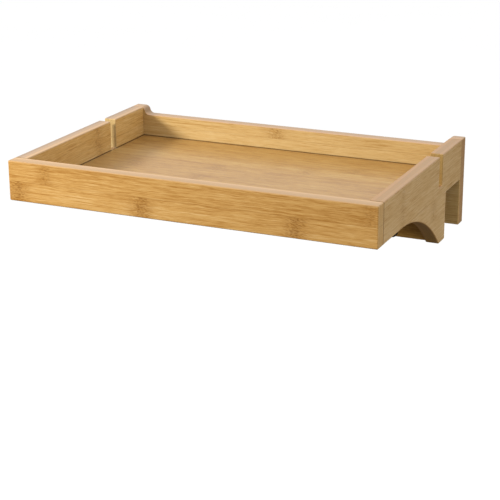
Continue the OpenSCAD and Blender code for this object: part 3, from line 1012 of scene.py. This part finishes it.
def ferrule(side):
    """Swaged ferrule: a stud into the pad, a body with a pressed groove, a rolled lip."""
    low, high, radius = part_box(side, "pad_ferrule")
    shoulder = part_box(side, "pad_backing")[0]
    stud = 3 * MM
    bore, bore_depth = 4.05 * MM, 5.5 * MM
    groove = radius - 0.7 * MM
    body = radius - 0.1 * MM
    outline = [
        (0.0, high), (stud, high), (stud, shoulder), (radius - 0.4 * MM, shoulder),
        (radius, shoulder - 0.5 * MM), (radius, shoulder - 3.6 * MM),
        (groove, shoulder - 4.2 * MM), (groove, shoulder - 5.4 * MM),
        (body, shoulder - 6.1 * MM), (body, low + 1.4 * MM),
        (radius, low + 1.1 * MM), (radius, low + 0.3 * MM), (radius - 0.3 * MM, low),
        (bore, low), (bore, low + bore_depth), (0.0, low + bore_depth),
    ]
    return turned(side + "_ferrule", side, rounded(outline, 0.35 * MM, steps=3), sides=72)


def backing_disc(side):
    """Flat dark disc with a rounded rim."""
    low, high, radius = part_box(side, "pad_backing")
    outline = [(0.0, low), (radius, low), (radius, high), (0.0, high)]
    return turned(side + "_disc", side, rounded(outline, 0.45 * MM), sides=96)


def clamp_pad(side):
    """White pad: a slight crown, a rounded rim and a moulding mark in the middle."""
    low, high, radius = part_box(side, "clamp_pad")
    crown, crown_steps = 0.3 * MM, 7
    mark, mark_depth = 1.6 * MM, 0.14 * MM
    crowned = radius - 1.6 * MM
    outline = [
        (0.0, high - mark_depth), (mark, high - mark_depth), (mark + 0.25 * MM, high),
    ]
    for step in range(1, crown_steps + 1):
        r = mark + (crowned - mark) * step / crown_steps
        outline.append((r, high - crown * (r / radius) ** 2))
    outline += [
        (radius, high - 0.9 * MM), (radius, low + 0.2 * MM), (radius - 0.2 * MM, low), (0.0, low),
    ]
    return turned(side + "_pad", side, rounded(outline, 1.1 * MM, steps=5), sides=96)


# ------------------------------------------------------------------ operators


def direction(azimuth, elevation):
    """Unit vector that points azimuth to the right of the front, and elevation up."""
    level = math.cos(elevation)
    return Vector((math.sin(azimuth) * level, -math.cos(azimuth) * level, math.sin(elevation)))


class SHELF_OT_finish_boards(bpy.types.Operator):
    """Eases the boards' edges and gives each board its own cut of bamboo"""

    bl_idname = "shelf.finish_boards"
    bl_label = "Finish boards"

    def execute(self, context):
        board = context.scene.shelf_board
        front_low, front_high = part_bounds("front_panel")
        joints = (front_high.y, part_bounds("back_panel")[0].y)
        above_lower_edge = front_low.z + MM
        joint_heights = {
            "front_panel": (above_lower_edge, front_high.z - MM),
            "back_panel": (above_lower_edge, ANYWHERE[1]),
        }
        bore_edge = 0.8 * MM  # edges this short belong to the dowels' bores and stay sharp
        pocket_edge = 10 * MM  # and these to the inserts' pockets in the clamp board
        shortest = {"clamp_board": pocket_edge}
        for name, cut in BOARD_CUTS.items():
            node = frame["nodes"][name]
            ease_edges(
                node, board.eased, shortest.get(name, bore_edge), board.joint_share,
                joints, joint_heights.get(name, ANYWHERE),
            )
            dress(node, bamboo("bamboo_" + name, board, Grain(name, **cut)))
        return {"FINISHED"}


class SHELF_OT_finish_floor(bpy.types.Operator):
    """Gives the tray floor its narrow eased edge and its darker strips"""

    bl_idname = "shelf.finish_floor"
    bl_label = "Finish tray floor"

    def execute(self, context):
        name = "tray_floor"
        floor = frame["nodes"][name]
        ease_edges(floor, width=0.35 * MM, segments=2)
        grain = Grain(name, **FLOOR_CUT)
        dress(floor, bamboo("bamboo_" + name, context.scene.shelf_board, grain))
        return {"FINISHED"}


class SHELF_OT_finish_dowels(bpy.types.Operator):
    """Gives the hidden dowels their own raw wood"""

    bl_idname = "shelf.finish_dowels"
    bl_label = "Finish dowels"

    def execute(self, context):
        board = context.scene.shelf_board
        axes = {"front_dowels": "YZX", "back_dowels": "YZX", "clamp_board_dowels": "XZY"}
        for name, cut_axes in axes.items():
            node = frame["nodes"][name]
            ease_edges(node, width=0.15 * MM, segments=1)
            grain = Grain(name, axes=cut_axes, **DOWEL_CUT)
            dress(node, bamboo("wood_" + name, board, grain))
        return {"FINISHED"}


class SHELF_OT_finish_fittings(bpy.types.Operator):
    """Plates the pronged inserts and the lock collars with zinc"""

    bl_idname = "shelf.finish_fittings"
    bl_label = "Finish inserts and collars"

    def execute(self, context):
        zinc = plated("zinc_plate_finish", context.scene.shelf_screws.zinc, 0.3, 0.5)
        for side in SIDES:
            insert = frame["nodes"][side + "_insert_nut"]
            collar = frame["nodes"][side + "_lock_collar"]
            ease_edges(insert, width=0.14 * MM, segments=2)
            ease_edges(collar, width=0.3 * MM, shortest=MM)  # only the hexagon's own corners
            dress(insert, zinc)
            dress(collar, zinc)
        return {"FINISHED"}


class SHELF_OT_turn_rods(bpy.types.Operator):
    """Cuts the thread on both rods"""

    bl_idname = "shelf.turn_rods"
    bl_label = "Turn threaded rods"

    def execute(self, context):
        screws = context.scene.shelf_screws
        steel = plated("rod_steel_finish", screws.steel, 0.34, 0.2)
        for side in SIDES:
            stand_for(threaded_rod(side, screws), side + "_threaded_rod", steel)
        return {"FINISHED"}


class SHELF_OT_mould_knobs(bpy.types.Operator):
    """Moulds both star knobs"""

    bl_idname = "shelf.mould_knobs"
    bl_label = "Mould star knobs"

    def execute(self, context):
        screws = context.scene.shelf_screws
        black = moulded("knob_black_finish", screws.black, 0.4, 0.05 * MM, 0.35)
        for side in SIDES:
            stand_for(star_knob(side, screws), side + "_star_knob", black)
        return {"FINISHED"}


class SHELF_OT_make_pads(bpy.types.Operator):
    """Makes both swivel pads with their discs and ferrules"""

    bl_idname = "shelf.make_pads"
    bl_label = "Make swivel pads"

    def execute(self, context):
        screws = context.scene.shelf_screws
        white = moulded("pad_white_finish", screws.white, 0.3, 0.02 * MM, 0.25, subsurface=0.12)
        dark = rubbery("disc_dark_finish", screws.dark)
        steel = plated("ferrule_steel_finish", screws.steel, 0.3, 0.15)
        for side in SIDES:
            stand_for(ferrule(side), side + "_pad_ferrule", steel)
            stand_for(backing_disc(side), side + "_pad_backing", dark)
            stand_for(clamp_pad(side), side + "_clamp_pad", white)
        return {"FINISHED"}


class SHELF_OT_set_stage(bpy.types.Operator):
    """Sets the camera, the pale floor and the soft light"""

    bl_idname = "shelf.set_stage"
    bl_label = "Set stage"

    def execute(self, context):
        stage = context.scene.shelf_stage
        self.place_camera(context.scene, stage)
        self.lay_floor(context.scene, stage)
        self.light(context.scene, stage)
        context.scene.view_settings.view_transform = "Standard"
        return {"FINISHED"}

    def place_camera(self, scene, stage):
        back = direction(stage.azimuth, stage.elevation)
        level = (-back).cross(Vector((0, 0, 1))).normalized()
        upright = level.cross(-back)
        right = math.cos(stage.roll) * level + math.sin(stage.roll) * upright
        up = -math.sin(stage.roll) * level + math.cos(stage.roll) * upright
        camera = bpy.data.objects.new("camera", bpy.data.cameras.new("camera"))
        scene.collection.objects.link(camera)
        camera.data.sensor_width = SENSOR_WIDTH
        camera.data.lens = stage.lens
        camera.data.clip_start = 0.05
        camera.data.clip_end = 200.0
        turn = Matrix((right, up, back)).transposed().to_4x4()
        camera.matrix_world = Matrix.Translation(Vector(stage.aim) + back * stage.distance) @ turn
        scene.camera = camera

    def lay_floor(self, scene, stage):
        mesh = bmesh.new()
        bmesh.ops.create_circle(mesh, cap_ends=True, segments=96, radius=FLOOR_RADIUS)
        data = bpy.data.meshes.new("floor")
        mesh.to_mesh(data)
        mesh.free()
        floor = bpy.data.objects.new("floor", data)
        scene.collection.objects.link(floor)
        floor.location.z = packed_box[0].z - stage.drop
        material, w = new_material("floor_finish")
        cloud = w.noise(w.place(), detail=3.0, scale=0.8)
        tone = w.blend(cloud, opaque(stage.floor_tone), scaled(stage.floor_tone, 0.985))
        w.surface({"Base Color": tone}, Roughness=0.9, Specular_IOR_Level=0.1)
        dress(floor, material)
        floor.visible_diffuse = False
        floor.visible_glossy = False

    def light(self, scene, stage):
        world = bpy.data.worlds.new("surround")
        scene.world = world
        world.use_nodes = True
        w = Wires(world.node_tree)
        height = w.split(w.add("ShaderNodeTexCoord").outputs["Generated"])[2]
        strength = w.add("ShaderNodeMapRange", {
            "Value": height, "From Min": 0.0, "From Max": 0.25,
            "To Min": stage.below, "To Max": stage.sky,
        })
        colour = w.blend(w.fade(height, -0.1, 0.15), opaque(stage.bounce), (1.0, 1.0, 1.0, 1.0))
        lit = w.add("ShaderNodeBackground", {"Color": colour, "Strength": strength.outputs[0]})
        seen = w.add("ShaderNodeBackground", {"Color": opaque(stage.floor_tone), "Strength": 1.0})
        to_camera = w.add("ShaderNodeLightPath").outputs["Is Camera Ray"]
        either = w.add("ShaderNodeMixShader", {0: to_camera, 1: lit.outputs[0], 2: seen.outputs[0]})
        w.add("ShaderNodeOutputWorld", {"Surface": either.outputs[0]})
        self.softbox(scene, "key", stage.key, stage.key_size, stage.key_distance,
                     -stage.key_azimuth, stage.key_elevation)
        self.softbox(scene, "fill", stage.fill, stage.fill_size, stage.fill_distance,
                     stage.fill_azimuth, stage.fill_elevation)

    def softbox(self, scene, name, power, size, distance, azimuth, elevation):
        """Square light that faces the middle of the tray"""
        back = direction(azimuth, elevation)
        lamp = bpy.data.lights.new(name, "AREA")
        lamp.shape = "SQUARE"
        lamp.size = size
        lamp.energy = power
        box = bpy.data.objects.new(name, lamp)
        scene.collection.objects.link(box)
        low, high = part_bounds("tray_floor")
        box.location = (low + high) / 2 + back * distance
        box.rotation_euler = back.to_track_quat("Z", "Y").to_euler()
        box.visible_camera = False
        box.visible_glossy = False


class SHELF_PT_panel(bpy.types.Panel):
    """Lists the shelf's settings and steps"""

    bl_idname = "SHELF_PT_panel"
    bl_label = "Bedside shelf"
    bl_space_type = "VIEW_3D"
    bl_region_type = "UI"
    bl_category = "Shelf"

    def draw(self, context):
        scene = context.scene
        for settings in (scene.shelf_board, scene.shelf_screws, scene.shelf_stage):
            box = self.layout.box()
            for name in settings.bl_rna.properties.keys():
                if name not in ("rna_type", "name"):
                    box.prop(settings, name)
        for step in STEPS:
            self.layout.operator(step.bl_idname)


SETTINGS = {
    "shelf_board": BoardSettings,
    "shelf_screws": ScrewSettings,
    "shelf_stage": StageSettings,
}
STEPS = (
    SHELF_OT_set_stage,
    SHELF_OT_finish_boards,
    SHELF_OT_finish_floor,
    SHELF_OT_finish_dowels,
    SHELF_OT_finish_fittings,
    SHELF_OT_turn_rods,
    SHELF_OT_mould_knobs,
    SHELF_OT_make_pads,
)


def register():
    for group in SETTINGS.values():
        bpy.utils.register_class(group)
    for name, group in SETTINGS.items():
        setattr(bpy.types.Scene, name, PointerProperty(type=group))
    for step in STEPS:
        bpy.utils.register_class(step)
    bpy.utils.register_class(SHELF_PT_panel)


def unregister():
    bpy.utils.unregister_class(SHELF_PT_panel)
    for step in reversed(STEPS):
        bpy.utils.unregister_class(step)
    for name, group in reversed(SETTINGS.items()):
        delattr(bpy.types.Scene, name)
        bpy.utils.unregister_class(group)


def main():
    register()
    bpy.ops.shelf.set_stage()
    bpy.ops.shelf.finish_boards()
    bpy.ops.shelf.finish_floor()
    bpy.ops.shelf.finish_dowels()
    bpy.ops.shelf.finish_fittings()
    bpy.ops.shelf.turn_rods()
    bpy.ops.shelf.mould_knobs()
    bpy.ops.shelf.make_pads()


if __name__ == "__main__":
    main()
